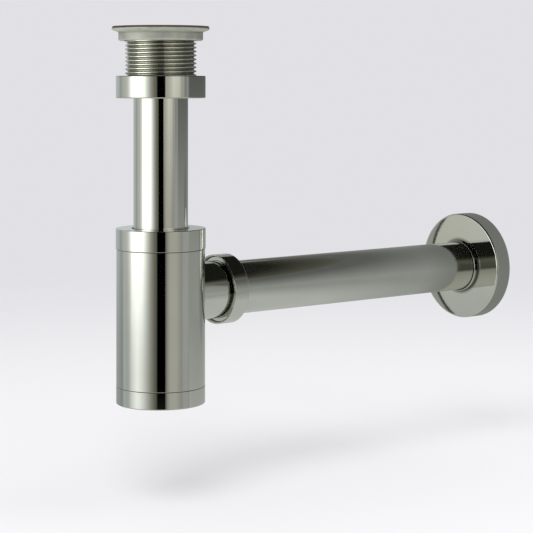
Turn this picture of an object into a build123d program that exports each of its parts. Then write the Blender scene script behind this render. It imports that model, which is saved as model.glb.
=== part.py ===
from build123d import *
import math
import os

# Round bottle trap for a washbasin, with a straight outlet tube to the wall.
# Millimetres, +Z up. The origin is on the trap's vertical axis, level with the
# underside of the basin that it hangs from. +X runs along the outlet to the wall.

# ---------------------------------------------------------------- driving sizes
TUBE_RADIUS = 16.0          # 32 mm tube, both upright and to the wall
TUBE_WALL = 1.0
THREAD_RADIUS = 20.955      # G 1 1/4 outside the waste tail
THREAD_PITCH = 2.309        # 11 threads to the inch
THREAD_DEPTH = 1.479
THREAD_FLANK_ANGLE = 27.5
WASTE_BORE_RADIUS = 17.0
BASIN_SEAL_RADIUS = 28.3

BACKNUT_RADIUS = 24.8
BACKNUT_FLANGE_RADIUS = 28.7
BASIN_SEAL_THICKNESS = 1.0
BACKNUT_HEIGHT = 7.4
SLIP_NUT_RADIUS = 26.25
SLIP_NUT_HEIGHT = 13.0
SLIP_NUT_LIP = 2.5
SLIP_WASHER_THICKNESS = 0.6
TUBE_COLLAR_THICKNESS = 1.6
UNION_WASHER_THICKNESS = 2.0

BOTTLE_RADIUS = 25.95
BOTTLE_WALL = 1.75
RING_NUT_RADIUS = 26.3
RING_NUT_HEIGHT = 12.2
RING_NUT_TOP = 2.9              # thickness of its top wall
RING_NUT_HOLE_RADIUS = 17.0
CUP_RADIUS = 26.0
CUP_HEIGHT = 10.2
CUP_FLOOR = 3.0
NECK_HEIGHT = 8.0
BOTTLE_THREAD_RADIUS = 23.0     # M46 x 1.5 neck under the ring nut
CUP_THREAD_RADIUS = 22.0        # M44 x 1.5 upstand of the cleaning cup
CUP_BORE_RADIUS = 20.5
O_RING_SECTION = 2.0

SPIGOT_RADIUS = 17.2
SPIGOT_THREAD_RADIUS = 19.5     # M39 x 1.5 end of the outlet spigot
SPIGOT_THREAD_INSET = 2.0       # the thread starts this far inside the nut's mouth
OUTLET_SEAL_LENGTH = 4.2
OUTLET_NUT_RADIUS = 20.8
OUTLET_NUT_LIP = 2.2
FLANGE_RADIUS = 35.0
FLANGE_DEPTH = 12.0
FLANGE_WALL = 1.2
FLANGE_EDGE_ROUND = 1.2
FLANGE_HOLE_FIT = 0.2           # radial play of the tube in the flange's lip
FLANGE_LIP_LENGTH = 2.8         # the lip stands out from the face round the tube
FLANGE_LIP_WALL = 0.7
FLANGE_LIP_TAPER = 0.25         # how much thicker the lip is at its root
FLANGE_RING_SECTION = 2.86

# Heights on the vertical axis, down from the basin
SLIP_NUT_TOP = -29.0
RING_NUT_TOP_Z = -118.0
OUTLET_Z = -157.0
CUP_SEAM_Z = -210.0
DIP_END_Z = -203.0

# Distances along the outlet, from the vertical axis
OUTLET_TUBE_START = 30.0
OUTLET_NUT_START = 39.5
OUTLET_NUT_END = 50.0
FLANGE_FACE = 249.0
OUTLET_TUBE_END = 276.0
WALL_PLANE = FLANGE_FACE + FLANGE_DEPTH

# Fits and edges
THREAD_FIT = 0.045          # radial play between a nut and its plain thread stand-in
TUBE_FIT = 0.1              # radial play of a tube in its guide
NUT_HOLE_FIT = 0.4          # radial play of a tube in a nut's end wall
SEAL_FIT = 0.02             # a seal just clears the tube that it grips
SEAM_GAP = 0.2
EDGE_ROUND = 0.5
EDGE_BREAK = 0.3
SAME_PLACE = 1e-4           # edges closer than this are the same edge


# ---------------------------------------------------------------- shared shapes
def turned(outline):
    """A solid of revolution about Z from (radius, height) corners."""
    face = make_face(Polyline(*[(radius, 0, height) for radius, height in outline], close=True))
    return revolve(face, axis=Axis.Z)


def ring(outer, inner, bottom, top):
    """A plain square-edged ring about Z."""
    return turned([(inner, bottom), (outer, bottom), (outer, top), (inner, top)])


def circle_edges(part, radius, height):
    """The circular edges of a turned part with one radius at one height."""
    return [
        edge
        for edge in part.edges().filter_by(GeomType.CIRCLE)
        if abs(edge.radius - radius) < SAME_PLACE
        and abs(edge.arc_center.Z - height) < SAME_PLACE
    ]


def rounded(part, size, *places):
    """The part with its circular edges at (radius, height) places rounded."""
    edges = [edge for radius, height in places for edge in circle_edges(part, radius, height)]
    return fillet(edges, size)


def o_ring(centre_radius, section, height):
    """A round-section seal about Z."""
    return Pos(0, 0, height) * Torus(centre_radius, section / 2)


def along_outlet(part):
    """Turn a part built about Z so that its axis is the outlet's, +Z becoming +X."""
    return Pos(0, 0, OUTLET_Z) * Rot(0, 90, 0) * part


# ---------------------------------------------------------------- basin end
BACKNUT_TOP = -BASIN_SEAL_THICKNESS
SLIP_NUT_BOTTOM = SLIP_NUT_TOP - SLIP_NUT_HEIGHT
SLIP_WASHER_BOTTOM = SLIP_NUT_BOTTOM + SLIP_NUT_LIP
TUBE_COLLAR_BOTTOM = SLIP_WASHER_BOTTOM + SLIP_WASHER_THICKNESS
TUBE_TOP = TUBE_COLLAR_BOTTOM + TUBE_COLLAR_THICKNESS
WASTE_BOTTOM = TUBE_TOP + UNION_WASHER_THICKNESS
NUT_BORE_RADIUS = THREAD_RADIUS + THREAD_FIT
INSIDE_NUT_RADIUS = 20.2    # washers and collar that sit inside the slip nut


def waste_tail():
    """The threaded tail of the basin waste, from the basin's underside down."""
    root_radius = THREAD_RADIUS - THREAD_DEPTH
    flank = THREAD_DEPTH * math.tan(math.radians(THREAD_FLANK_ANGLE))
    crest = THREAD_PITCH / 6         # the ridge's flat top
    sink = 0.2                       # the ridge starts this far inside the core
    margin = 1.0                     # the envelope stands this far outside the ridge
    start = WASTE_BOTTOM - THREAD_PITCH
    length = -start + THREAD_PITCH
    helix = Helix(pitch=THREAD_PITCH, height=length, radius=root_radius, center=(0, 0, start))
    tooth = Plane(origin=(root_radius, 0, start), x_dir=(1, 0, 0), z_dir=(0, -1, 0)) * make_face(
        Polyline(
            (-sink, -crest / 2 - flank),
            (0, -crest / 2 - flank),
            (THREAD_DEPTH, -crest / 2),
            (THREAD_DEPTH, crest / 2),
            (0, crest / 2 + flank),
            (-sink, crest / 2 + flank),
            close=True,
        )
    )
    ridge = sweep(tooth, path=helix, is_frenet=True)
    envelope = turned(
        [
            (WASTE_BORE_RADIUS, WASTE_BOTTOM),
            (root_radius, WASTE_BOTTOM),
            (THREAD_RADIUS + margin, WASTE_BOTTOM + THREAD_DEPTH + margin),
            (THREAD_RADIUS + margin, 0),
            (WASTE_BORE_RADIUS, 0),
        ]
    )
    core = ring(root_radius, WASTE_BORE_RADIUS, WASTE_BOTTOM, 0)
    return core + (ridge & envelope)


def basin_seal_washer():
    """Flat rubber washer between the backnut and the basin."""
    return ring(BASIN_SEAL_RADIUS, NUT_BORE_RADIUS, BACKNUT_TOP, 0)


def backnut():
    """Cast nut with a thin dished flange that clamps the waste to the basin."""
    rim = 0.7
    dish = 1.0
    flange_root = 2.4
    chamfer_size = 0.6
    bottom = BACKNUT_TOP - BACKNUT_HEIGHT
    return turned(
        [
            (NUT_BORE_RADIUS, BACKNUT_TOP),
            (BACKNUT_FLANGE_RADIUS, BACKNUT_TOP),
            (BACKNUT_FLANGE_RADIUS, BACKNUT_TOP - rim),
            (BACKNUT_FLANGE_RADIUS - dish, BACKNUT_TOP - 2 * rim),
            (BACKNUT_RADIUS, BACKNUT_TOP - flange_root),
            (BACKNUT_RADIUS, bottom + chamfer_size),
            (BACKNUT_RADIUS - chamfer_size, bottom),
            (NUT_BORE_RADIUS + chamfer_size, bottom),
            (NUT_BORE_RADIUS, bottom + chamfer_size),
        ]
    )


def slip_nut():
    """Polished union nut that pulls the tube's collar up against the waste."""
    mouth = 0.8
    tube_hole = TUBE_RADIUS + NUT_HOLE_FIT
    nut = turned(
        [
            (NUT_BORE_RADIUS + mouth, SLIP_NUT_TOP),
            (SLIP_NUT_RADIUS, SLIP_NUT_TOP),
            (SLIP_NUT_RADIUS, SLIP_NUT_BOTTOM),
            (tube_hole, SLIP_NUT_BOTTOM),
            (tube_hole, SLIP_WASHER_BOTTOM),
            (NUT_BORE_RADIUS, SLIP_WASHER_BOTTOM),
            (NUT_BORE_RADIUS, SLIP_NUT_TOP - mouth),
        ]
    )
    return rounded(
        nut, EDGE_ROUND, (SLIP_NUT_RADIUS, SLIP_NUT_TOP), (SLIP_NUT_RADIUS, SLIP_NUT_BOTTOM)
    )


def slip_washer():
    """Nylon washer that lets the slip nut turn under the tube's collar."""
    return ring(INSIDE_NUT_RADIUS, TUBE_RADIUS + TUBE_FIT, SLIP_WASHER_BOTTOM, TUBE_COLLAR_BOTTOM)


def union_washer():
    """Flat rubber washer between the tube's collar and the end of the waste."""
    return ring(INSIDE_NUT_RADIUS, TUBE_RADIUS - TUBE_WALL, TUBE_TOP, WASTE_BOTTOM)


def inlet_tube():
    """Polished upright tube; its lower end dips into the water in the bottle."""
    return ring(TUBE_RADIUS, TUBE_RADIUS - TUBE_WALL, DIP_END_Z, TUBE_TOP)


def inlet_tube_collar():
    """Collar brazed round the top of the inlet tube."""
    return ring(INSIDE_NUT_RADIUS, TUBE_RADIUS, TUBE_COLLAR_BOTTOM, TUBE_TOP)


# ---------------------------------------------------------------- bottle
BOTTLE_TOP = RING_NUT_TOP_Z - RING_NUT_HEIGHT
BOTTLE_BORE = BOTTLE_RADIUS - BOTTLE_WALL
NECK_TOP = BOTTLE_TOP + NECK_HEIGHT
COLLAR_DEPTH = 6.0                  # length of each collar that is brazed in the bottle
SEAL_SEAT_RADIUS = 19.5
SEAL_SEAT_DEPTH = 6.2
FRICTION_RING = 1.2                 # thickness of the ring between a nut and its seal
TOP_FRICTION_RING_RADIUS = 22.0


def top_ring_nut():
    """Plain round nut that squeezes the top seal on the inlet tube."""
    inner_top = RING_NUT_TOP_Z - RING_NUT_TOP
    bottom = BOTTLE_TOP + SEAM_GAP
    bore = BOTTLE_THREAD_RADIUS + THREAD_FIT
    nut = turned(
        [
            (RING_NUT_HOLE_RADIUS, RING_NUT_TOP_Z),
            (RING_NUT_RADIUS, RING_NUT_TOP_Z),
            (RING_NUT_RADIUS, bottom),
            (bore, bottom),
            (bore, inner_top),
            (RING_NUT_HOLE_RADIUS, inner_top),
        ]
    )
    return rounded(nut, EDGE_BREAK, (RING_NUT_RADIUS, RING_NUT_TOP_Z), (RING_NUT_RADIUS, bottom))


def top_friction_ring():
    """Nylon ring between the ring nut and the top seal."""
    top = RING_NUT_TOP_Z - RING_NUT_TOP
    return ring(TOP_FRICTION_RING_RADIUS, TUBE_RADIUS + TUBE_FIT, top - FRICTION_RING, top)


def top_seal():
    """Tapered rubber ring that grips the inlet tube in the bottle's neck."""
    top = RING_NUT_TOP_Z - RING_NUT_TOP - FRICTION_RING
    taper = 1.5
    grip = TUBE_RADIUS + SEAL_FIT
    outer = SEAL_SEAT_RADIUS - TUBE_FIT
    bottom = NECK_TOP - SEAL_SEAT_DEPTH
    return turned(
        [
            (grip, bottom),
            (outer - taper, bottom),
            (outer, bottom + taper),
            (outer, top),
            (grip, top),
        ]
    )


def upper_collar():
    """Turned neck brazed into the top of the bottle: thread outside, seal seat inside."""
    guide = TUBE_RADIUS + NUT_HOLE_FIT
    seat = NECK_TOP - SEAL_SEAT_DEPTH
    return turned(
        [
            (guide, BOTTLE_TOP - COLLAR_DEPTH),
            (BOTTLE_BORE, BOTTLE_TOP - COLLAR_DEPTH),
            (BOTTLE_BORE, BOTTLE_TOP),
            (BOTTLE_THREAD_RADIUS, BOTTLE_TOP),
            (BOTTLE_THREAD_RADIUS, NECK_TOP),
            (SEAL_SEAT_RADIUS, NECK_TOP),
            (SEAL_SEAT_RADIUS, seat),
            (guide, seat),
        ]
    )


def bottle_body():
    """Drawn outer shell of the bottle, with the hole for the outlet spigot."""
    shell = ring(BOTTLE_RADIUS, BOTTLE_BORE, CUP_SEAM_Z, BOTTLE_TOP)
    shell = rounded(
        shell, EDGE_BREAK / 2, (BOTTLE_RADIUS, CUP_SEAM_Z), (BOTTLE_RADIUS, BOTTLE_TOP)
    )
    hole = along_outlet(Pos(0, 0, BOTTLE_RADIUS) * Cylinder(SPIGOT_RADIUS, BOTTLE_RADIUS))
    return shell - hole


def lower_collar():
    """Threaded collar brazed into the foot of the bottle for the cleaning cup."""
    bottom = CUP_SEAM_Z - SEAM_GAP + O_RING_SECTION
    return ring(BOTTLE_BORE, CUP_THREAD_RADIUS + THREAD_FIT, bottom, bottom + COLLAR_DEPTH)


def cleaning_cup():
    """Cup that unscrews from the foot of the bottle to empty it."""
    shoulder = CUP_SEAM_Z - SEAM_GAP
    bottom = CUP_SEAM_Z - CUP_HEIGHT
    upstand_top = CUP_SEAM_Z + O_RING_SECTION + COLLAR_DEPTH
    cup = turned(
        [
            (0, bottom),
            (CUP_RADIUS, bottom),
            (CUP_RADIUS, shoulder),
            (CUP_THREAD_RADIUS, shoulder),
            (CUP_THREAD_RADIUS, upstand_top),
            (CUP_BORE_RADIUS, upstand_top),
            (CUP_BORE_RADIUS, bottom + CUP_FLOOR),
            (0, bottom + CUP_FLOOR),
        ]
    )
    cup = rounded(cup, EDGE_BREAK / 2, (CUP_RADIUS, shoulder))
    return rounded(cup, EDGE_ROUND, (CUP_RADIUS, bottom))


def cup_o_ring():
    """O-ring between the cleaning cup's shoulder and the lower collar."""
    centre_radius = (CUP_THREAD_RADIUS + BOTTLE_BORE) / 2
    return o_ring(centre_radius, O_RING_SECTION, CUP_SEAM_Z - SEAM_GAP + O_RING_SECTION / 2)


# ---------------------------------------------------------------- outlet
OUTLET_LIP_START = OUTLET_NUT_END - OUTLET_NUT_LIP
SPIGOT_END = OUTLET_LIP_START - FRICTION_RING
SPIGOT_THREAD_START = OUTLET_NUT_START + SPIGOT_THREAD_INSET
OUTLET_SEAT_START = SPIGOT_END - OUTLET_SEAL_LENGTH
OUTLET_SEAT_RADIUS = 18.0
OUTLET_FRICTION_RING_RADIUS = 19.3


def outlet_spigot():
    """Branch brazed into the side of the bottle, threaded and seated at its end."""
    guide = TUBE_RADIUS + TUBE_FIT
    branch = turned(
        [
            (guide, 0),
            (SPIGOT_RADIUS, 0),
            (SPIGOT_RADIUS, SPIGOT_THREAD_START),
            (SPIGOT_THREAD_RADIUS, SPIGOT_THREAD_START),
            (SPIGOT_THREAD_RADIUS, SPIGOT_END),
            (OUTLET_SEAT_RADIUS, SPIGOT_END),
            (OUTLET_SEAT_RADIUS, OUTLET_SEAT_START),
            (guide, OUTLET_SEAT_START),
        ]
    )
    inside_of_bottle = Pos(0, 0, OUTLET_Z) * Cylinder(BOTTLE_BORE, 4 * SPIGOT_RADIUS)
    return along_outlet(branch) - inside_of_bottle


def outlet_nut():
    """Round nut that squeezes the outlet seal on the outlet tube."""
    bore = SPIGOT_THREAD_RADIUS + THREAD_FIT
    mouth = 0.5
    tube_hole = TUBE_RADIUS + NUT_HOLE_FIT
    nut = turned(
        [
            (bore + mouth, OUTLET_NUT_START),
            (OUTLET_NUT_RADIUS, OUTLET_NUT_START),
            (OUTLET_NUT_RADIUS, OUTLET_NUT_END),
            (tube_hole, OUTLET_NUT_END),
            (tube_hole, OUTLET_LIP_START),
            (bore, OUTLET_LIP_START),
            (bore, OUTLET_NUT_START + mouth),
        ]
    )
    nut = rounded(nut, EDGE_BREAK, (OUTLET_NUT_RADIUS, OUTLET_NUT_START))
    nut = rounded(nut, EDGE_ROUND, (OUTLET_NUT_RADIUS, OUTLET_NUT_END))
    return along_outlet(nut)


def outlet_friction_ring():
    """Nylon ring between the outlet nut and the outlet seal."""
    bore = TUBE_RADIUS + TUBE_FIT
    return along_outlet(ring(OUTLET_FRICTION_RING_RADIUS, bore, SPIGOT_END, OUTLET_LIP_START))


def outlet_seal():
    """Tapered rubber ring that grips the outlet tube in the spigot's mouth."""
    taper = 0.8
    grip = TUBE_RADIUS + SEAL_FIT
    outer = OUTLET_SEAT_RADIUS - TUBE_FIT / 2
    return along_outlet(
        turned(
            [
                (grip, OUTLET_SEAT_START),
                (outer - taper, OUTLET_SEAT_START),
                (outer, OUTLET_SEAT_START + taper),
                (outer, SPIGOT_END),
                (grip, SPIGOT_END),
            ]
        )
    )


def outlet_tube():
    """Polished level tube from the bottle, through the wall flange, into the wall.

    A fine turned line just behind the wall plane marks how far the free end goes
    into the connector in the wall.
    """
    bore = TUBE_RADIUS - TUBE_WALL
    mark_start = WALL_PLANE + 1.0
    mark_width = 0.6
    mark_depth = 0.2
    tube = turned(
        [
            (bore, OUTLET_TUBE_START),
            (TUBE_RADIUS, OUTLET_TUBE_START),
            (TUBE_RADIUS, mark_start),
            (TUBE_RADIUS - mark_depth, mark_start),
            (TUBE_RADIUS - mark_depth, mark_start + mark_width),
            (TUBE_RADIUS, mark_start + mark_width),
            (TUBE_RADIUS, OUTLET_TUBE_END - EDGE_ROUND),
            (TUBE_RADIUS - EDGE_ROUND, OUTLET_TUBE_END),
            (bore, OUTLET_TUBE_END),
        ]
    )
    return along_outlet(tube)


FLANGE_BOSS_RADIUS = TUBE_RADIUS + SEAL_FIT + FLANGE_RING_SECTION
FLANGE_BOSS_LENGTH = 6.0


def wall_flange():
    """Hollow round cover plate over the hole in the wall, with a short lip round the tube."""
    hole = TUBE_RADIUS + FLANGE_HOLE_FIT
    lip = hole + FLANGE_LIP_WALL
    lip_end = FLANGE_FACE - FLANGE_LIP_LENGTH
    inside = FLANGE_FACE + FLANGE_WALL
    boss_end = inside + FLANGE_BOSS_LENGTH
    flange = turned(
        [
            (hole, lip_end),
            (lip, lip_end),
            (lip + FLANGE_LIP_TAPER, FLANGE_FACE),
            (FLANGE_RADIUS, FLANGE_FACE),
            (FLANGE_RADIUS, WALL_PLANE),
            (FLANGE_RADIUS - FLANGE_WALL, WALL_PLANE),
            (FLANGE_RADIUS - FLANGE_WALL, inside),
            (FLANGE_BOSS_RADIUS + FLANGE_WALL, inside),
            (FLANGE_BOSS_RADIUS + FLANGE_WALL, boss_end),
            (FLANGE_BOSS_RADIUS, boss_end),
            (FLANGE_BOSS_RADIUS, inside),
            (hole, inside),
        ]
    )
    flange = rounded(flange, FLANGE_EDGE_ROUND, (FLANGE_RADIUS, FLANGE_FACE))
    flange = rounded(flange, EDGE_BREAK, (lip, lip_end))
    return along_outlet(flange)


def flange_o_ring():
    """O-ring in the flange's boss that holds the flange in place on the tube."""
    centre_radius = TUBE_RADIUS + SEAL_FIT + FLANGE_RING_SECTION / 2
    place = FLANGE_FACE + FLANGE_WALL + FLANGE_RING_SECTION / 2
    return along_outlet(o_ring(centre_radius, FLANGE_RING_SECTION, place))


# ---------------------------------------------------------------- all sub-parts
PARTS = [
    waste_tail,
    basin_seal_washer,
    backnut,
    slip_nut,
    slip_washer,
    union_washer,
    inlet_tube,
    inlet_tube_collar,
    top_ring_nut,
    top_friction_ring,
    top_seal,
    upper_collar,
    bottle_body,
    lower_collar,
    cleaning_cup,
    cup_o_ring,
    outlet_spigot,
    outlet_nut,
    outlet_friction_ring,
    outlet_seal,
    outlet_tube,
    wall_flange,
    flange_o_ring,
]

os.makedirs("parts", exist_ok=True)
for make in PARTS:
    export_step(make(), f"parts/{make.__name__}.step")
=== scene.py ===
import math

import bpy
import bmesh
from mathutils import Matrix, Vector
from mathutils import noise as gradient_noise


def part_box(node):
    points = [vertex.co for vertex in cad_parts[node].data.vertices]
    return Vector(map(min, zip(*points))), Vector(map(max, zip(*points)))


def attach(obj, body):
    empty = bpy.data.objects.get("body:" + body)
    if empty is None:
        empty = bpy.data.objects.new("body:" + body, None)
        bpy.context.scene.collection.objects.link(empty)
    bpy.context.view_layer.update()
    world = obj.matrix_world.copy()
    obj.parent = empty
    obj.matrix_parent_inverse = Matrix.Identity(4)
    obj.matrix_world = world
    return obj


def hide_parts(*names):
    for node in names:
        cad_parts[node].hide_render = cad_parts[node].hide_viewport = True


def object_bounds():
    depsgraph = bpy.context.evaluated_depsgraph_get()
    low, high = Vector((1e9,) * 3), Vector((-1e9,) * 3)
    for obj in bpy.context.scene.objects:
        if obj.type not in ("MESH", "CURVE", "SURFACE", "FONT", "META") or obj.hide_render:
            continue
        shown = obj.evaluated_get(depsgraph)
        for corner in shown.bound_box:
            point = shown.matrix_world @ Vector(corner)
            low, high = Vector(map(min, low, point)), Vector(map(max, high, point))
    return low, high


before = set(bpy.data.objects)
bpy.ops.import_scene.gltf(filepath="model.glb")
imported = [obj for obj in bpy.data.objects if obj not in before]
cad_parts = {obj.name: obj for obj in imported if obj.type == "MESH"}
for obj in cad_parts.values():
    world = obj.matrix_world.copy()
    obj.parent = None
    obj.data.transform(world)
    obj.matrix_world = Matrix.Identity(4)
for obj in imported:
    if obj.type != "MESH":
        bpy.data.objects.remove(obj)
CAD_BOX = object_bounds()

MM = 0.001
SEGMENTS = 192              # round a full circle
SOFT_EDGE = 0.08 * MM       # the least rounding on any corner, so that every edge catches light


# ------------------------------------------------------------------ sizes from the frame
def bottom(node):
    """Height of a node's lowest point."""
    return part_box(node)[0].z


def top(node):
    """Height of a node's highest point."""
    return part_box(node)[1].z


def start(node):
    """Where a node on the outlet begins, measured from the trap's upright axis."""
    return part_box(node)[0].x


def end(node):
    """Where a node on the outlet ends, measured from the trap's upright axis."""
    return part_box(node)[1].x


def outer_radius(node):
    """A round node's outer radius: half its width across the trap."""
    low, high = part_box(node)
    return (high.y - low.y) / 2


OUTLET_HEIGHT = (bottom("outlet_tube") + top("outlet_tube")) / 2
TUBE_RADIUS = outer_radius("inlet_tube")
TUBE_BORE = TUBE_RADIUS - 1.0 * MM
THREAD_PLAY = 0.05 * MM     # round a plain nut bore on its thread
NUT_HOLE_PLAY = 0.4 * MM    # round a tube in a nut's end wall
BASIN_THREAD_BORE = outer_radius("waste_tail") + THREAD_PLAY


# ------------------------------------------------------------------ turned meshes
def rounded_outline(corners):
    """Points and outward normals of a closed outline whose (radius, along, rounding) corners
    are each rounded by an arc. Corners on the axis stay as they are."""
    area = sum(
        a[0] * b[1] - b[0] * a[1] for a, b in zip(corners, corners[1:] + corners[:1])
    )
    if area < 0:
        corners = corners[::-1]
    points = []
    for i, (radius, along, rounding) in enumerate(corners):
        here = Vector((radius, along))
        into = (here - Vector(corners[i - 1][:2])).normalized()
        out = (Vector(corners[(i + 1) % len(corners)][:2]) - here).normalized()
        if radius == 0:
            on_axis = Vector((0, -1 if out.x > 0 else 1))
            points.append((here, on_axis))
            continue
        rounding = max(rounding, SOFT_EDGE)
        turn = math.atan2(into.x * out.y - into.y * out.x, into.dot(out))
        reach = rounding * math.tan(abs(turn) / 2)
        side = 1 if turn > 0 else -1
        first_normal = Vector((into.y, -into.x))
        centre = here - into * reach - first_normal * rounding * side
        steps = max(2, round(abs(turn) / math.radians(15)) if rounding > 0.2 * MM else 2)
        for k in range(steps + 1):
            angle = turn * k / steps
            normal = Vector(
                (
                    first_normal.x * math.cos(angle) - first_normal.y * math.sin(angle),
                    first_normal.x * math.sin(angle) + first_normal.y * math.cos(angle),
                )
            )
            points.append((centre + normal * rounding * side, normal))
    return points


def placed(radius_part, along, angle, on_outlet):
    """A point or direction turned round the upright axis or round the outlet's axis."""
    across = (radius_part * math.cos(angle), radius_part * math.sin(angle))
    if on_outlet:
        return Vector((along, across[0], across[1]))
    return Vector((across[0], across[1], along))


def divided(outline, row_gap):
    """The outline with extra points on its long straight stretches."""
    result = []
    for (point, normal), (following, _) in zip(outline, outline[1:] + outline[:1]):
        result.append((point, normal))
        pieces = max(1, round((following - point).length / row_gap))
        for k in range(1, pieces):
            result.append((point.lerp(following, k / pieces), normal))
    return result


def lathe(name, corners, on_outlet=False, row_gap=None):
    """A turned piece with exact smooth normals, from (radius, along, rounding) corners."""
    outline = rounded_outline(corners)
    if row_gap:
        outline = divided(outline, row_gap)
    centre = Vector((0, 0, OUTLET_HEIGHT)) if on_outlet else Vector((0, 0, 0))
    vertices, normals, rings = [], [], []
    for point, normal in outline:
        count = 1 if point.x == 0 else SEGMENTS
        rings.append(range(len(vertices), len(vertices) + count))
        for k in range(count):
            angle = 2 * math.pi * k / SEGMENTS
            vertices.append(centre + placed(point.x, point.y, angle, on_outlet))
            normals.append(placed(normal.x, normal.y, angle, on_outlet))
    faces = []
    for here, after in zip(rings, rings[1:] + rings[:1]):
        if len(here) == 1 and len(after) == 1:
            continue
        for k in range(SEGMENTS):
            loop = [
                here[k % len(here)],
                here[(k + 1) % len(here)],
                after[(k + 1) % len(after)],
                after[k % len(after)],
            ]
            faces.append(list(dict.fromkeys(loop)))
    mesh = bpy.data.meshes.new(name)
    mesh.from_pydata(vertices, [], faces)
    mesh.polygons.foreach_set("use_smooth", [True] * len(faces))
    first = mesh.polygons[0]
    if first.normal.dot(sum((normals[v] for v in first.vertices), Vector())) < 0:
        mesh.flip_normals()
    mesh.normals_split_custom_set_from_vertices(normals)
    piece = bpy.data.objects.new(name, mesh)
    bpy.context.scene.collection.objects.link(piece)
    return piece


def cut(piece, tool):
    """Cuts one mesh with another, applies the cut and deletes the tool."""
    modifier = piece.modifiers.new("cut", "BOOLEAN")
    modifier.operation = "DIFFERENCE"
    modifier.solver = "EXACT"
    modifier.object = tool
    depsgraph = bpy.context.evaluated_depsgraph_get()
    mesh = bpy.data.meshes.new_from_object(piece.evaluated_get(depsgraph))
    piece.modifiers.clear()
    piece.data = mesh
    bpy.data.objects.remove(tool)


def radial_normals(piece, on_outlet=False):
    """After a cut, gives a turned piece exact normals again: radial on its round faces
    and flat on its ends and cut edges."""
    mesh = piece.data
    mesh.polygons.foreach_set("use_smooth", [True] * len(mesh.polygons))
    normals = [None] * len(mesh.loops)
    for face in mesh.polygons:
        for loop in face.loop_indices:
            place = mesh.vertices[mesh.loops[loop].vertex_index].co
            radial = Vector((0, place.y, place.z - OUTLET_HEIGHT))
            if not on_outlet:
                radial = Vector((place.x, place.y, 0))
            radial.normalize()
            facing = face.normal.dot(radial)
            is_round = abs(facing) > 0.97
            normals[loop] = radial * math.copysign(1, facing) if is_round else face.normal
    mesh.normals_split_custom_set(normals)


# ------------------------------------------------------------------ materials
GAP_SAMPLES = 32            # rays that feel for nearby surfaces


def new_material(name):
    """An empty node material and its Principled shader."""
    material = bpy.data.materials.new(name)
    material.use_nodes = True
    return material, material.node_tree, material.node_tree.nodes["Principled BSDF"]


def add(tree, kind, inputs=None, **settings):
    """A new node: settings are its properties, inputs are links or values by socket name."""
    node = tree.nodes.new(kind)
    for key, value in settings.items():
        setattr(node, key, value)
    for key, value in (inputs or {}).items():
        if isinstance(value, bpy.types.NodeSocket):
            tree.links.new(value, node.inputs[key])
        else:
            node.inputs[key].default_value = value
    return node


def noise(tree, scale, detail=3.0, stretch=(1, 1, 1)):
    """Noise in the object's own metres, stretched along any axis: a value about 0.5."""
    place = add(tree, "ShaderNodeTexCoord").outputs["Object"]
    mapping = add(tree, "ShaderNodeMapping", {"Vector": place, "Scale": stretch})
    texture = add(
        tree,
        "ShaderNodeTexNoise",
        {"Vector": mapping.outputs["Vector"], "Scale": scale, "Detail": detail},
    )
    return texture.outputs["Fac"]


def spread(tree, value, low, high):
    """Maps the middle of a noise value's range to low..high."""
    return follow(tree, value, (0.3, 0.7), (low, high))


def follow(tree, value, from_range, to_range=(0.0, 1.0), **settings):
    """A value carried from one range to another, and held at the ends."""
    return add(
        tree,
        "ShaderNodeMapRange",
        {
            "Value": value,
            "From Min": from_range[0],
            "From Max": from_range[1],
            "To Min": to_range[0],
            "To Max": to_range[1],
        },
        **settings,
    ).outputs["Result"]


def arithmetic(tree, operation, a, b):
    """One sum, product or other operation on two values."""
    return add(tree, "ShaderNodeMath", {0: a, 1: b}, operation=operation).outputs["Value"]


def scaled_tint(tree, tint, brightness):
    """A tint times a brightness value."""
    scaled = add(tree, "ShaderNodeVectorMath", {0: tint}, operation="SCALE")
    tree.links.new(brightness, scaled.inputs["Scale"])
    return scaled.outputs["Vector"]


def tinted(tree, value, dark, light):
    """A colour between two tints, by a 0..1 value."""
    mix = add(tree, "ShaderNodeMix", {"Factor": value}, data_type="RGBA")
    mix.inputs["A"].default_value = (*dark, 1)
    mix.inputs["B"].default_value = (*light, 1)
    return mix.outputs["Result"]


def bump(tree, height, distance, strength=1.0):
    """A bump normal from a height value; distance is in metres."""
    return add(
        tree,
        "ShaderNodeBump",
        {"Height": height, "Distance": distance, "Strength": strength},
    ).outputs["Normal"]


def painted_crevice_shade(tree, colour, distance, darkening=1.5):
    """A colour darkened by painted shade where other surfaces stand close, as in gaps and corners.
    """
    open_share = add(
        tree, "ShaderNodeAmbientOcclusion", {"Distance": distance}, samples=GAP_SAMPLES
    )
    # painted shade: the share of open surroundings darkens the colour
    light = arithmetic(tree, "POWER", open_share.outputs["AO"], darkening)
    return scaled_tint(tree, colour, light)


def polished_nickel(name, least_roughness, most_roughness, gap_shade=0.0):
    """Mirror nickel plate: warm grey, with faint smears and fine polishing lines. Where there is
    gap shade, painted shade darkens the plate's colour in narrow gaps, as in a nut's mouth."""
    material, tree, shader = new_material(name)
    smears = noise(tree, 55, 4)
    lines = noise(tree, 900, 2, stretch=(1, 1, 0.04))
    colour = tinted(
        tree, spread(tree, smears, 0, 1), (0.635, 0.64, 0.585), (0.665, 0.67, 0.62)
    )
    if gap_shade:
        # painted shade in narrow gaps, only when gap_shade is set
        colour = painted_crevice_shade(tree, colour, 2.5 * MM, gap_shade)
    tree.links.new(colour, shader.inputs["Base Color"])
    shader.inputs["Metallic"].default_value = 1
    roughness = spread(tree, smears, least_roughness, most_roughness)
    tree.links.new(roughness, shader.inputs["Roughness"])
    tree.links.new(bump(tree, lines, 0.6e-6), shader.inputs["Normal"])
    return material


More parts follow.
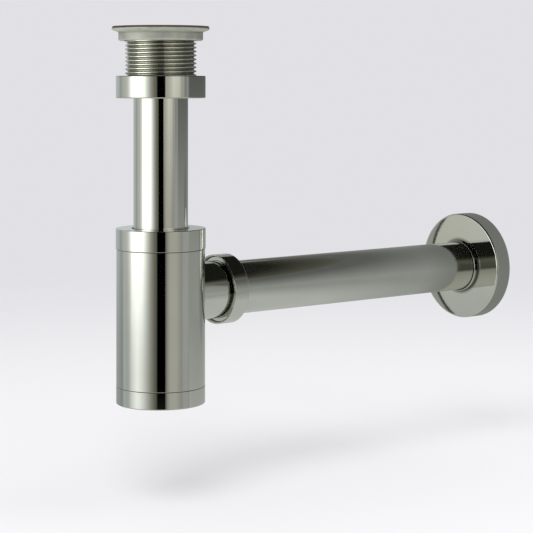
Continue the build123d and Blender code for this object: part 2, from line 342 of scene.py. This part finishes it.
def cast_nickel():
    """Plated casting left unpolished: satin, blotchy and slightly grainy, with painted shade in
    its crevices.
    """
    material, tree, shader = new_material("cast_nickel")
    blotches = noise(tree, 160, 3)
    grain = noise(tree, 1900, 4)
    colour = tinted(tree, spread(tree, blotches, 0, 1), (0.74, 0.75, 0.67), (0.88, 0.89, 0.81))
    # painted shade darkens the casting's colour in its crevices
    tree.links.new(painted_crevice_shade(tree, colour, 1.5 * MM), shader.inputs["Base Color"])
    shader.inputs["Metallic"].default_value = 0.88
    tree.links.new(spread(tree, blotches, 0.48, 0.58), shader.inputs["Roughness"])
    tree.links.new(bump(tree, grain, 0.05 * MM), shader.inputs["Normal"])
    return material


def threaded_nickel():
    """Plated cut thread: its colour carries painted shade down in the roots and lightens to bright
    crests.
    """
    material, tree, shader = new_material("threaded_nickel")
    place = add(tree, "ShaderNodeTexCoord").outputs["Object"]
    flat = add(tree, "ShaderNodeVectorMath", {0: place, 1: (1, 1, 0)}, operation="MULTIPLY")
    radius = add(tree, "ShaderNodeVectorMath", {0: flat.outputs["Vector"]}, operation="LENGTH")
    crest = outer_radius("waste_tail")
    # painted shade: the colour darkens from the crests down into the thread roots
    depth = follow(tree, radius.outputs["Value"], (crest - 1.5 * MM, crest))
    root_shade_colour, crest_colour = (0.36, 0.36, 0.30), (0.90, 0.90, 0.81)
    colour = tinted(tree, depth, root_shade_colour, crest_colour)
    tree.links.new(colour, shader.inputs["Base Color"])
    shader.inputs["Metallic"].default_value = 0.95
    roughness = spread(tree, noise(tree, 500, 3), 0.13, 0.18)
    tree.links.new(roughness, shader.inputs["Roughness"])
    chatter = noise(tree, 1500, 3)
    tree.links.new(bump(tree, chatter, 0.003 * MM), shader.inputs["Normal"])
    return material


def machined_brass():
    """Bare turned brass on the hidden collars."""
    material, tree, shader = new_material("machined_brass")
    tool_marks = noise(tree, 2500, 2, stretch=(0.05, 0.05, 1))
    colour = tinted(tree, spread(tree, tool_marks, 0, 1), (0.62, 0.44, 0.20), (0.76, 0.58, 0.30))
    tree.links.new(colour, shader.inputs["Base Color"])
    shader.inputs["Metallic"].default_value = 1
    shader.inputs["Roughness"].default_value = 0.28
    tree.links.new(bump(tree, tool_marks, 0.01 * MM), shader.inputs["Normal"])
    return material


def moulded(name, dark, light, roughness, grain_size):
    """Moulded rubber or nylon with a fine matt grain."""
    material, tree, shader = new_material(name)
    mottle = noise(tree, 220, 3)
    grain = noise(tree, grain_size, 4)
    tree.links.new(tinted(tree, mottle, dark, light), shader.inputs["Base Color"])
    tree.links.new(
        spread(tree, mottle, roughness - 0.06, roughness + 0.06), shader.inputs["Roughness"]
    )
    tree.links.new(bump(tree, grain, 0.02 * MM), shader.inputs["Normal"])
    return material


MIRROR = polished_nickel("polished_nickel", 0.02, 0.05)
TUBE_MIRROR = polished_nickel("polished_nickel_tube", 0.09, 0.12)
# mirror nickel with painted shade in its narrow gaps
GAP_MIRROR = polished_nickel("polished_nickel_gap_shade", 0.02, 0.05, gap_shade=2.5)
CAST = cast_nickel()
THREAD = threaded_nickel()
BRASS = machined_brass()
BLACK_RUBBER = moulded("black_rubber", (0.012, 0.012, 0.012), (0.03, 0.03, 0.028), 0.7, 3000)
BROWN_RUBBER = moulded("brown_rubber", (0.06, 0.03, 0.015), (0.12, 0.065, 0.035), 0.75, 3000)
NYLON = moulded("white_nylon", (0.74, 0.73, 0.67), (0.84, 0.83, 0.78), 0.45, 2200)


def stands_for(piece, node, body, slot, material):
    """A rebuilt piece takes a CAD node's place, body and material. Its slot is not used."""
    piece.data.materials.clear()
    piece.data.materials.append(material)
    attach(piece, body)
    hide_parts(node)


# ------------------------------------------------------------------ basin end
THREAD_PITCH = 25.4 * MM / 11
THREAD_DEPTH = 1.479 * MM
THREAD_ROWS = 14            # round one thread's outline
WASTE_BORE = 17.0 * MM


def thread_height(share):
    """How far up the flank the thread is, 0 at the root to 1 at the crest, for a share of
    one pitch. The crest and root are slightly flattened and rounded."""
    triangle = abs(2 * (share % 1) - 1)
    flank = (triangle - 1 / 6) / (4 / 6)
    flank = min(1, max(0, flank))
    return flank * flank * (3 - 2 * flank) * 0.35 + flank * 0.65


def threaded_tail():
    """The waste's tail: a tube whose outside is one continuous right-hand thread. Rows of
    points climb with the thread, and stop flat at the tail's two ends."""
    low, high = bottom("waste_tail"), top("waste_tail")
    root = outer_radius("waste_tail") - THREAD_DEPTH
    lead_in = 0.3 * MM
    turns = math.ceil((high - low) / THREAD_PITCH) + 2
    rows = turns * THREAD_ROWS

    def thread_point(column, height):
        share = (height - low) / THREAD_PITCH - column / SEGMENTS
        radius = root + THREAD_DEPTH * thread_height(share)
        radius = min(radius, root - lead_in + height - low)
        return placed(radius, height, 2 * math.pi * column / SEGMENTS, False)

    def bore_point(column, height):
        return placed(WASTE_BORE, height, 2 * math.pi * column / SEGMENTS, False)

    builder = bmesh.new()
    grid = []
    for row in range(rows + 1):
        ring = []
        for column in range(SEGMENTS):
            turn = row / THREAD_ROWS + column / SEGMENTS
            height = low + (turn - 1.5) * THREAD_PITCH
            height = min(high, max(low, height))
            ring.append(builder.verts.new(thread_point(column, height)))
        grid.append(ring)
    for row in range(rows):
        for column in range(SEGMENTS - 1):
            here, above = grid[row], grid[row + 1]
            builder.faces.new((here[column], here[column + 1], above[column + 1], above[column]))
        wrapped = row + THREAD_ROWS
        if wrapped < rows:
            builder.faces.new(
                (grid[row][-1], grid[wrapped][0], grid[wrapped + 1][0], grid[row + 1][-1])
            )
    band = [
        [builder.verts.new(thread_point(column, high)) for column in range(SEGMENTS)],
        [builder.verts.new(bore_point(column, high)) for column in range(SEGMENTS)],
        [builder.verts.new(bore_point(column, low)) for column in range(SEGMENTS)],
        [builder.verts.new(thread_point(column, low)) for column in range(SEGMENTS)],
    ]
    for here, after in zip(band, band[1:]):
        for column in range(SEGMENTS):
            following = (column + 1) % SEGMENTS
            builder.faces.new((here[column], here[following], after[following], after[column]))
    bmesh.ops.remove_doubles(builder, verts=builder.verts, dist=1e-7)
    bmesh.ops.dissolve_degenerate(builder, edges=builder.edges, dist=1e-7)
    mesh = bpy.data.meshes.new("threaded_tail")
    builder.to_mesh(mesh)
    builder.free()
    mesh.polygons.foreach_set("use_smooth", [True] * len(mesh.polygons))
    mesh.set_sharp_from_angle(angle=math.radians(50))
    piece = bpy.data.objects.new("threaded_tail", mesh)
    bpy.context.scene.collection.objects.link(piece)
    return piece


def basin_seal():
    """The thin washer squeezed between the backnut and the basin."""
    node = "basin_seal_washer"
    outer, low, high = outer_radius(node), bottom(node), top(node)
    bulge = 0.3 * MM
    return lathe(
        "basin_seal",
        [
            (BASIN_THREAD_BORE, low, 0),
            (outer, low, bulge),
            (outer, high, bulge),
            (BASIN_THREAD_BORE, high, 0),
        ],
    )


def cast_backnut():
    """The cast nut: a thin dished flange on a plain round body, slightly uneven all over."""
    flange, low, high = outer_radius("backnut"), bottom("backnut"), top("backnut")
    body = flange - 3.9 * MM
    chamfer = 0.6 * MM
    piece = lathe(
        "cast_backnut",
        [
            (BASIN_THREAD_BORE, high, 0),
            (flange, high, 0.2 * MM),
            (flange, high - 0.7 * MM, 0.25 * MM),
            (flange - 1.0 * MM, high - 1.4 * MM, 0.8 * MM),
            (body, high - 2.4 * MM, 0.4 * MM),
            (body, low, 0.9 * MM),
            (BASIN_THREAD_BORE + chamfer, low, 0),
            (BASIN_THREAD_BORE, low + chamfer, 0),
        ],
        row_gap=0.5 * MM,
    )
    uneven = 0.05 * MM
    for vertex in piece.data.vertices:
        out = Vector((vertex.co.x, vertex.co.y, 0)).normalized()
        vertex.co += out * uneven * gradient_noise.noise(vertex.co * 140)
    return piece


def polished_slip_nut():
    """The union nut at the top of the inlet tube."""
    outer, low, high = outer_radius("slip_nut"), bottom("slip_nut"), top("slip_nut")
    mouth = 0.8 * MM
    hole = TUBE_RADIUS + NUT_HOLE_PLAY
    lip = low + 2.5 * MM
    return lathe(
        "polished_slip_nut",
        [
            (BASIN_THREAD_BORE + mouth, high, 0),
            (outer, high, 0.35 * MM),
            (outer, low, 0.7 * MM),
            (hole, low, 0.2 * MM),
            (hole, lip, 0),
            (BASIN_THREAD_BORE, lip, 0),
            (BASIN_THREAD_BORE, high - mouth, 0),
        ],
    )


def polished_inlet_tube():
    """The upright tube."""
    low, high = bottom("inlet_tube"), top("inlet_tube")
    return lathe(
        "polished_inlet_tube",
        [
            (TUBE_BORE, low, 0.3 * MM),
            (TUBE_RADIUS, low, 0.3 * MM),
            (TUBE_RADIUS, high, 0),
            (TUBE_BORE, high, 0),
        ],
    )


# ------------------------------------------------------------------ bottle
SPIGOT_RADIUS = 17.2 * MM
BOTTLE_BORE = outer_radius("bottle_body") - 1.75 * MM


def polished_ring_nut():
    """The ring nut on top of the bottle, with a narrow dark gap round the inlet tube."""
    node = "top_ring_nut"
    outer, low, high = outer_radius(node), bottom(node), top(node)
    hole = TUBE_RADIUS + 1.0 * MM
    bore = 23.05 * MM
    inside = high - 2.9 * MM
    return lathe(
        "polished_ring_nut",
        [
            (hole, high, 0.25 * MM),
            (outer, high, 0.4 * MM),
            (outer, low, 0.2 * MM),
            (bore, low, 0),
            (bore, inside, 0),
            (hole, inside, 0),
        ],
    )


def outlet_cylinder(name, radius, near, far):
    """A plain bar on the outlet's axis, used only as a cutting tool."""
    return lathe(name, [(0, near, 0), (radius, near, 0), (radius, far, 0), (0, far, 0)], True)


def bottle_shell():
    """The bottle's outer shell, with its hole for the spigot."""
    node = "bottle_body"
    outer, low, high = outer_radius(node), bottom(node), top(node)
    piece = lathe(
        "bottle_shell",
        [
            (BOTTLE_BORE, low, 0),
            (outer, low, 0.2 * MM),
            (outer, high, 0.2 * MM),
            (BOTTLE_BORE, high, 0),
        ],
    )
    cut(piece, outlet_cylinder("hole_tool", SPIGOT_RADIUS, 0, 2 * outer))
    radial_normals(piece)
    return piece


def polished_cup():
    """The cleaning cup that closes the foot of the bottle."""
    node = "cleaning_cup"
    outer, low, high = outer_radius(node), bottom(node), top(node)
    shoulder = bottom("cup_o_ring")
    thread, bore = 22.0 * MM, 20.5 * MM
    floor = low + 3.0 * MM
    return lathe(
        "polished_cup",
        [
            (0, low, 0),
            (outer, low, 0.6 * MM),
            (outer, shoulder, 0.2 * MM),
            (thread, shoulder, 0),
            (thread, high, 0.3 * MM),
            (bore, high, 0.3 * MM),
            (bore, floor, 1.0 * MM),
            (0, floor, 0),
        ],
    )


# ------------------------------------------------------------------ outlet
def polished_spigot():
    """The branch on the bottle's side: a plain neck, a threaded end and a seat for the seal."""
    far = end("outlet_spigot")
    thread = outer_radius("outlet_spigot")
    thread_inset = 2.0 * MM
    thread_start = start("outlet_nut") + thread_inset
    guide = TUBE_RADIUS + 0.1 * MM
    seat_radius = outer_radius("outlet_seal") + 0.05 * MM
    seat = start("outlet_seal")
    piece = lathe(
        "polished_spigot",
        [
            (guide, 0, 0),
            (SPIGOT_RADIUS, 0, 0),
            (SPIGOT_RADIUS, thread_start, 0.3 * MM),
            (thread, thread_start, 0.2 * MM),
            (thread, far, 0.2 * MM),
            (seat_radius, far, 0),
            (seat_radius, seat, 0),
            (guide, seat, 0),
        ],
        True,
    )
    tool = lathe(
        "cope_tool",
        [
            (0, OUTLET_HEIGHT - 2 * SPIGOT_RADIUS, 0),
            (BOTTLE_BORE, OUTLET_HEIGHT - 2 * SPIGOT_RADIUS, 0),
            (BOTTLE_BORE, OUTLET_HEIGHT + 2 * SPIGOT_RADIUS, 0),
            (0, OUTLET_HEIGHT + 2 * SPIGOT_RADIUS, 0),
        ],
    )
    cut(piece, tool)
    radial_normals(piece, True)
    return piece


def polished_outlet_nut():
    """The nut on the spigot; its mouth stands clear of the spigot's neck."""
    outer, near, far = outer_radius("outlet_nut"), start("outlet_nut"), end("outlet_nut")
    bore = outer_radius("outlet_spigot") + THREAD_PLAY
    mouth = 0.5 * MM
    hole = TUBE_RADIUS + NUT_HOLE_PLAY
    lip = far - 2.2 * MM
    return lathe(
        "polished_outlet_nut",
        [
            (bore + mouth, near, 0.15 * MM),
            (outer, near, 0.4 * MM),
            (outer, far, 0.6 * MM),
            (hole, far, 0.2 * MM),
            (hole, lip, 0),
            (bore, lip, 0),
            (bore, near + mouth, 0),
        ],
        True,
    )


def polished_outlet_tube():
    """The level tube to the wall, with its turned depth line behind the wall flange."""
    near, far = start("outlet_tube"), end("outlet_tube")
    line = end("wall_flange") + 1.0 * MM
    line_width, line_depth = 0.6 * MM, 0.2 * MM
    return lathe(
        "polished_outlet_tube",
        [
            (TUBE_BORE, near, 0.3 * MM),
            (TUBE_RADIUS, near, 0.3 * MM),
            (TUBE_RADIUS, line, 0),
            (TUBE_RADIUS - line_depth, line, 0),
            (TUBE_RADIUS - line_depth, line + line_width, 0),
            (TUBE_RADIUS, line + line_width, 0),
            (TUBE_RADIUS, far, 0.5 * MM),
            (TUBE_BORE, far, 0.2 * MM),
        ],
        True,
    )


def polished_flange():
    """The hollow cover plate at the wall, with a short lip round the tube and a boss behind
    its face for the O-ring."""
    outer, near, far = outer_radius("wall_flange"), start("wall_flange"), end("wall_flange")
    wall = 1.2 * MM
    hole = TUBE_RADIUS + 0.2 * MM
    face = near + 2.8 * MM
    lip = hole + 0.7 * MM
    lip_root = lip + 0.25 * MM
    boss = outer_radius("flange_o_ring")
    inside = face + wall
    boss_end = inside + 6.0 * MM
    return lathe(
        "polished_flange",
        [
            (hole, near, 0),
            (lip, near, 0.45 * MM),
            (lip_root, face, 0),
            (outer, face, 1.2 * MM),
            (outer, far, 0.2 * MM),
            (outer - wall, far, 0.2 * MM),
            (outer - wall, inside, 0.3 * MM),
            (boss + wall, inside, 0.3 * MM),
            (boss + wall, boss_end, 0.2 * MM),
            (boss, boss_end, 0.2 * MM),
            (boss, inside, 0),
            (hole, inside, 0),
        ],
        True,
    )


# ------------------------------------------------------------------ every piece
REBUILT = [
    (threaded_tail, "waste_tail", "waste", "nickel_thread", THREAD),
    (basin_seal, "basin_seal_washer", "basin_seal", "brown_rubber", BROWN_RUBBER),
    (cast_backnut, "backnut", "backnut", "cast_nickel", CAST),
    (polished_slip_nut, "slip_nut", "slip_nut", "polished_nickel", MIRROR),
    (polished_inlet_tube, "inlet_tube", "inlet_tube", "polished_nickel", MIRROR),
    (polished_ring_nut, "top_ring_nut", "top_ring_nut", "polished_nickel", MIRROR),
    (bottle_shell, "bottle_body", "bottle", "polished_nickel", MIRROR),
    (polished_cup, "cleaning_cup", "cleaning_cup", "polished_nickel", MIRROR),
    (polished_spigot, "outlet_spigot", "bottle", "polished_nickel", MIRROR),
    (polished_outlet_nut, "outlet_nut", "outlet_nut", "polished_nickel", GAP_MIRROR),
    (polished_outlet_tube, "outlet_tube", "outlet_tube", "polished_nickel", TUBE_MIRROR),
    (polished_flange, "wall_flange", "wall_flange", "polished_nickel", GAP_MIRROR),
]
for build, node, body, slot, material in REBUILT:
    stands_for(build(), node, body, slot, material)

KEPT = {
    "slip_washer": NYLON,
    "union_washer": BLACK_RUBBER,
    "inlet_tube_collar": BRASS,
    "top_friction_ring": NYLON,
    "top_seal": BLACK_RUBBER,
    "upper_collar": BRASS,
    "lower_collar": BRASS,
    "cup_o_ring": BLACK_RUBBER,
    "outlet_friction_ring": NYLON,
    "outlet_seal": BLACK_RUBBER,
    "flange_o_ring": BLACK_RUBBER,
}
for node, material in KEPT.items():
    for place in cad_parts[node].material_slots:
        place.material = material


# ------------------------------------------------------------------ camera
VIEW_TURN = math.radians(39.3)      # the view's turn from square-on to the outlet
CAMERA_DISTANCE = 1002.5 * MM       # from the upright axis, along the view
CAMERA_OFFSET = 61.95 * MM          # the upright axis stands this far left of the camera
CAMERA_HEIGHT = -32.0 * MM          # just above the slip nut
FORWARD = Vector((math.sin(VIEW_TURN), math.cos(VIEW_TURN), 0))
RIGHT = Vector((math.cos(VIEW_TURN), -math.sin(VIEW_TURN), 0))


def photo_camera():
    """A level long-lens camera whose lens is shifted down, so upright lines stay upright.
    The shift applies only at this place: it goes to zero when the camera is moved."""
    data = bpy.data.cameras.new("camera")
    data.sensor_width = 36.0
    data.lens = 115.6
    camera = bpy.data.objects.new("camera", data)
    bpy.context.scene.collection.objects.link(camera)
    camera.location = RIGHT * CAMERA_OFFSET - FORWARD * CAMERA_DISTANCE
    camera.location.z = CAMERA_HEIGHT
    camera.rotation_euler = (math.pi / 2, 0, -VIEW_TURN)
    driver = data.driver_add("shift_y").driver
    driver.type = "SCRIPTED"
    variable = driver.variables.new()
    variable.name = "x"
    variable.type = "TRANSFORMS"
    variable.targets[0].id = camera
    variable.targets[0].transform_type = "LOC_X"
    variable.targets[0].transform_space = "WORLD_SPACE"
    home = camera.location.x
    driver.expression = f"-0.348 if abs(x - ({home:.6f})) < 0.0001 else 0"
    bpy.context.scene.camera = camera


photo_camera()


# ------------------------------------------------------------------ studio
PALE = (0.755, 0.75, 0.785)
COOL = (0.93, 1.0, 1.01)
NEUTRAL = (0.97, 1.0, 0.98)
WARM = (1.0, 0.99, 0.90)
OLIVE = (1.0, 1.0, 0.80)
# Brightness and tint all round the trap as its polished sides see it, by bearing in degrees:
# 0 is towards the camera, minus is to the camera's left, 180 is behind the trap.
LEVEL_RING = [
    (-180, 0.62, COOL),         # pale wall behind
    (-142, 0.58, COOL),
    (-129, 0.51, COOL),
    (-124, 0.40, COOL),         # thin dark join in the wall
    (-118, 0.51, COOL),
    (-109, 0.60, NEUTRAL),
    (-99, 0.64, WARM),
    (-93, 0.80, NEUTRAL),
    (-86, 1.15, NEUTRAL),       # large softbox on the left
    (-83, 1.50, NEUTRAL),
    (-80, 2.20, NEUTRAL),
    (-49, 2.20, NEUTRAL),
    (-41, 1.50, NEUTRAL),       # its spill
    (-33, 0.86, NEUTRAL),
    (-25, 0.43, WARM),
    (-17, 0.21, OLIVE),         # dark cloth beside the camera
    (-11, 0.15, OLIVE),
    (-9.6, 0.12, OLIVE),
    (-9.2, 0.0, OLIVE),         # black gap behind the camera
    (11.2, 0.0, OLIVE),
    (11.8, 0.47, WARM),         # warm wall on the right
    (23, 0.62, WARM),
    (33, 0.89, WARM),
    (49, 0.78, WARM),
    (54, 0.50, WARM),
    (61, 0.46, NEUTRAL),
    (66, 0.24, NEUTRAL),        # thin dark join in the wall
    (73, 0.39, NEUTRAL),
    (78, 0.15, NEUTRAL),        # dim room on the right
    (130, 0.14, NEUTRAL),
    (180, 0.50, COOL),
]
LOWER_RING = [
    (-180, 0.42, COOL),         # foot of the wall behind
    (-140, 0.41, COOL),
    (-117, 0.34, COOL),
    (-111, 0.54, COOL),
    (-97, 0.51, COOL),
    (-91, 0.54, COOL),
    (-85, 0.74, NEUTRAL),       # foot of the softbox
    (-78, 0.95, NEUTRAL),
    (-65, 1.24, NEUTRAL),
    (-58, 1.20, NEUTRAL),
    (-48, 0.97, NEUTRAL),
    (-37, 0.64, NEUTRAL),
    (-26, 0.34, WARM),
    (-16, 0.16, OLIVE),         # dark cloth
    (-10, 0.10, OLIVE),
    (-9.5, 0.0, OLIVE),         # black gap behind the camera
    (11.5, 0.0, OLIVE),
    (12, 0.14, WARM),
    (18, 0.37, WARM),           # warm floor
    (24, 0.50, WARM),
    (40, 0.51, WARM),
    (49, 0.42, WARM),
    (55, 0.36, NEUTRAL),
    (61, 0.44, NEUTRAL),        # grey floor
    (73, 0.45, NEUTRAL),
    (79, 0.38, NEUTRAL),
    (120, 0.30, NEUTRAL),
    (180, 0.42, COOL),
]
UPPER_RING = [
    (-180, 0.36, COOL),         # top of the wall behind
    (-110, 0.60, COOL),
    (-70, 0.90, NEUTRAL),       # top of the softbox
    (-30, 0.10, OLIVE),         # dark ceiling
    (110, 0.075, OLIVE),
    (165, 0.30, NEUTRAL),
    (180, 0.36, COOL),
]


def ring_light(tree, bearing_share, ring):
    """A ring of tinted brightness by bearing."""
    ramp_node = add(tree, "ShaderNodeValToRGB", {"Fac": bearing_share})
    ramp = ramp_node.color_ramp
    peak = max(brightness for _, brightness, _ in ring)
    while len(ramp.elements) < len(ring):
        ramp.elements.new(0.5)
    for element, (bearing, _, _) in zip(ramp.elements, ring):
        element.position = (bearing + 180) / 360
    for element, (_, brightness, tint) in zip(ramp.elements, ring):
        element.color = (*[brightness / peak * part for part in tint], 1)
    scaled = add(tree, "ShaderNodeVectorMath", {0: ramp_node.outputs["Color"]}, operation="SCALE")
    scaled.inputs["Scale"].default_value = peak
    return scaled.outputs["Vector"]


def rise(tree, height, low, high):
    """0 below one elevation and 1 above another, in degrees, from a direction's height."""
    heights = [math.sin(math.radians(elevation)) for elevation in (low, high)]
    return follow(tree, height, heights, interpolation_type="SMOOTHSTEP")


def mixed(tree, share, a, b):
    """Mixes two colours, given as sockets or as tuples."""
    mix = add(tree, "ShaderNodeMix", {"Factor": share}, data_type="RGBA")
    for socket, value in ((mix.inputs[6], a), (mix.inputs[7], b)):
        if isinstance(value, tuple):
            socket.default_value = (*value, 1)
        else:
            tree.links.new(value, socket)
    return mix.outputs[2]


def studio_world():
    """The camera sees a plain pale backdrop, polished metal sees a studio with a softbox,
    walls and a dark gap, and everything else is lit by even soft light."""
    world = bpy.data.worlds.new("studio")
    bpy.context.scene.world = world
    world.use_nodes = True
    tree = world.node_tree
    tree.nodes.clear()
    direction = add(tree, "ShaderNodeTexCoord").outputs["Generated"]
    to_camera = (RIGHT * CAMERA_OFFSET - FORWARD * CAMERA_DISTANCE).normalized()
    to_right = Vector((-to_camera.y, to_camera.x, 0))
    ahead = add(
        tree, "ShaderNodeVectorMath", {0: direction, 1: to_camera}, operation="DOT_PRODUCT"
    )
    aside = add(
        tree, "ShaderNodeVectorMath", {0: direction, 1: to_right}, operation="DOT_PRODUCT"
    )
    bearing = arithmetic(tree, "ARCTAN2", aside.outputs["Value"], ahead.outputs["Value"])
    share = follow(tree, bearing, (-math.pi, math.pi))
    height = add(tree, "ShaderNodeSeparateXYZ", {"Vector": direction}).outputs["Z"]

    floor = mixed(tree, rise(tree, height, -50, -15), (0.62, 0.63, 0.60), (0.45, 0.455, 0.43))
    lower = mixed(tree, rise(tree, height, -20, -10), floor, ring_light(tree, share, LOWER_RING))
    on_right = follow(tree, aside.outputs["Value"], (0.0, 0.3), (0.0, 0.08))
    shifted = arithmetic(tree, "SUBTRACT", height, on_right)
    level = mixed(tree, rise(tree, shifted, -10, -3.5), lower, ring_light(tree, share, LEVEL_RING))
    upper = mixed(tree, rise(tree, height, 12, 40), level, ring_light(tree, share, UPPER_RING))

    paths = add(tree, "ShaderNodeLightPath").outputs
    seen = mixed(tree, paths["Is Glossy Ray"], (0.9, 0.9, 0.9), upper)
    seen = mixed(tree, paths["Is Camera Ray"], seen, PALE)
    background = add(tree, "ShaderNodeBackground", {"Color": seen})
    output = add(tree, "ShaderNodeOutputWorld")
    tree.links.new(background.outputs["Background"], output.inputs["Surface"])


def pale_floor():
    """A pale floor under the trap that fades into the backdrop, and is clear from below.
    Metal does not reflect it: the studio already holds a floor."""
    drop = 60 * MM
    builder = bmesh.new()
    bmesh.ops.create_circle(builder, cap_ends=True, segments=64, radius=2.0)
    mesh = bpy.data.meshes.new("pale_floor")
    builder.to_mesh(mesh)
    builder.free()
    floor = bpy.data.objects.new("pale_floor", mesh)
    bpy.context.scene.collection.objects.link(floor)
    floor.location = (0.1, 0, CAD_BOX[0].z - drop)
    floor.visible_glossy = False
    material, tree, shader = new_material("pale_floor")
    shader.inputs["Base Color"].default_value = (0.80, 0.795, 0.82, 1)
    shader.inputs["Roughness"].default_value = 0.9
    place = add(tree, "ShaderNodeTexCoord").outputs["Object"]
    distance = add(tree, "ShaderNodeVectorMath", {0: place}, operation="LENGTH")
    fade = follow(
        tree, distance.outputs["Value"], (0.35, 1.3), interpolation_type="SMOOTHSTEP"
    )
    clear = add(tree, "ShaderNodeBsdfTransparent")
    from_below = add(tree, "ShaderNodeNewGeometry").outputs["Backfacing"]
    unseen = arithmetic(tree, "MAXIMUM", fade, from_below)
    mix = add(
        tree,
        "ShaderNodeMixShader",
        {0: unseen, 1: shader.outputs["BSDF"], 2: clear.outputs["BSDF"]},
    )
    tree.links.new(mix.outputs["Shader"], tree.nodes["Material Output"].inputs["Surface"])
    floor.data.materials.append(material)


def reflection_card(name, rows, colour):
    """A glowing card that only polished metal sees, from rows of points. The colour is a
    function that returns a colour socket of the card's node tree."""
    vertices = [point for row in rows for point in row]
    width = len(rows[0])
    faces = []
    for row in range(len(rows) - 1):
        for k in range(width - 1):
            here, above = row * width + k, (row + 1) * width + k
            faces.append((here, here + 1, above + 1, above))
    mesh = bpy.data.meshes.new(name)
    mesh.from_pydata(vertices, [], faces)
    card = bpy.data.objects.new(name, mesh)
    bpy.context.scene.collection.objects.link(card)
    card.visible_camera = False
    card.visible_diffuse = False
    card.visible_transmission = False
    card.visible_shadow = False
    material, tree, shader = new_material(name)
    tree.nodes.remove(shader)
    glow = add(tree, "ShaderNodeEmission", {"Color": colour(tree)})
    tree.links.new(glow.outputs["Emission"], tree.nodes["Material Output"].inputs["Surface"])
    mesh.materials.append(material)


def plain(brightness, tint):
    """A card's colour function: one colour all over."""

    def colour(tree):
        node = add(tree, "ShaderNodeRGB")
        node.outputs["Color"].default_value = (*[brightness * part for part in tint], 1)
        return node.outputs["Color"]

    return colour


def ring_rows(radii, first, last, place):
    """Rows of points on arcs about a centre, in a plane that faces along the outlet."""
    steps = 96
    rows = []
    for radius in radii:
        angles = [math.radians(first + (last - first) * k / steps) for k in range(steps + 1)]
        rows.append(
            [
                Vector(place) + Vector((0, radius * math.cos(angle), radius * math.sin(angle)))
                for angle in angles
            ]
        )
    return rows


def basin_underside():
    """A glowing card for the basin's underside over the trap, with painted shade: dark, and
    lighter towards the wall and front.
    """
    near, far, back, front = -0.25, 0.50, 0.15, -0.32

    def colour(tree):
        place = add(tree, "ShaderNodeTexCoord").outputs["Object"]
        parts = add(tree, "ShaderNodeSeparateXYZ", {"Vector": place})
        # painted shade, lifted by painted light towards the wall and the front
        wallward = follow(tree, parts.outputs["X"], (0.19, 0.32), (0.012, 0.19))
        forward = follow(tree, parts.outputs["Y"], (-0.18, front), (0.0, 0.12))
        return scaled_tint(tree, OLIVE, arithmetic(tree, "ADD", wallward, forward))

    height = CAD_BOX[1].z + 4 * MM
    rows = [[(near, y, height), (far, y, height)] for y in (front, back)]
    reflection_card("basin_underside", rows, colour)


def flange_wall():
    """The wall behind the flange: dim under the basin, and shaded just round the flange."""
    plane = end("wall_flange") + 1 * MM
    near, far, foot, head = -0.30, 0.25, -0.60, CAD_BOX[1].z + 4 * MM

    def colour(tree):
        place = add(tree, "ShaderNodeTexCoord").outputs["Object"]
        parts = add(tree, "ShaderNodeSeparateXYZ", {"Vector": place})
        light = follow(tree, parts.outputs["Z"], (-0.16, -0.03), (0.38, 0.14))
        low_light = follow(tree, parts.outputs["Z"], (-0.21, -0.34), (0.0, 0.22))
        outlet = add(
            tree,
            "ShaderNodeVectorMath",
            {0: place, 1: (plane, 0, OUTLET_HEIGHT)},
            operation="DISTANCE",
        )
        shade = follow(
            tree,
            outlet.outputs["Value"],
            (44 * MM, 80 * MM),
            (0.72, 1.0),
            interpolation_type="SMOOTHSTEP",
        )
        unshaded = arithmetic(tree, "ADD", light, low_light)
        return scaled_tint(tree, NEUTRAL, arithmetic(tree, "MULTIPLY", unshaded, shade))

    rows = [[(plane, near, z), (plane, far, z)] for z in (foot, head)]
    reflection_card("flange_wall", rows, colour)


def curved_screen():
    """A far screen with a dark curved edge, which only the flange's flat face mirrors."""
    place = (149 * MM, 81 * MM, -170 * MM)
    edge, edge_width, band_width = 44.6 * MM, 2.6 * MM, 12 * MM
    half_arc = 62           # degrees to each side
    band = edge + edge_width
    dark = ring_rows((edge, band), -half_arc, half_arc, place)
    reflection_card("curved_screen_edge", dark, plain(0.06, OLIVE))
    grey = ring_rows((band, band + band_width), -half_arc, half_arc, place)
    reflection_card("curved_screen", grey, plain(0.40, NEUTRAL))


def soft_light(name, place, size, power):
    """A square area light aimed at the trap, which polished metal does not reflect."""
    data = bpy.data.lights.new(name, "AREA")
    data.energy = power
    data.size = size
    light = bpy.data.objects.new(name, data)
    bpy.context.scene.collection.objects.link(light)
    light.location = place
    aim = Vector((0.1, 0, -0.12)) - light.location
    light.rotation_euler = aim.to_track_quat("-Z", "Y").to_euler()
    light.visible_glossy = False


studio_world()
pale_floor()
basin_underside()
flange_wall()
curved_screen()
soft_light("key_light", (-0.9, -0.7, 1.1), 0.9, 12)
soft_light("fill_light", (1.2, -0.8, 0.9), 1.2, 5)
bpy.context.scene.view_settings.view_transform = "Standard"
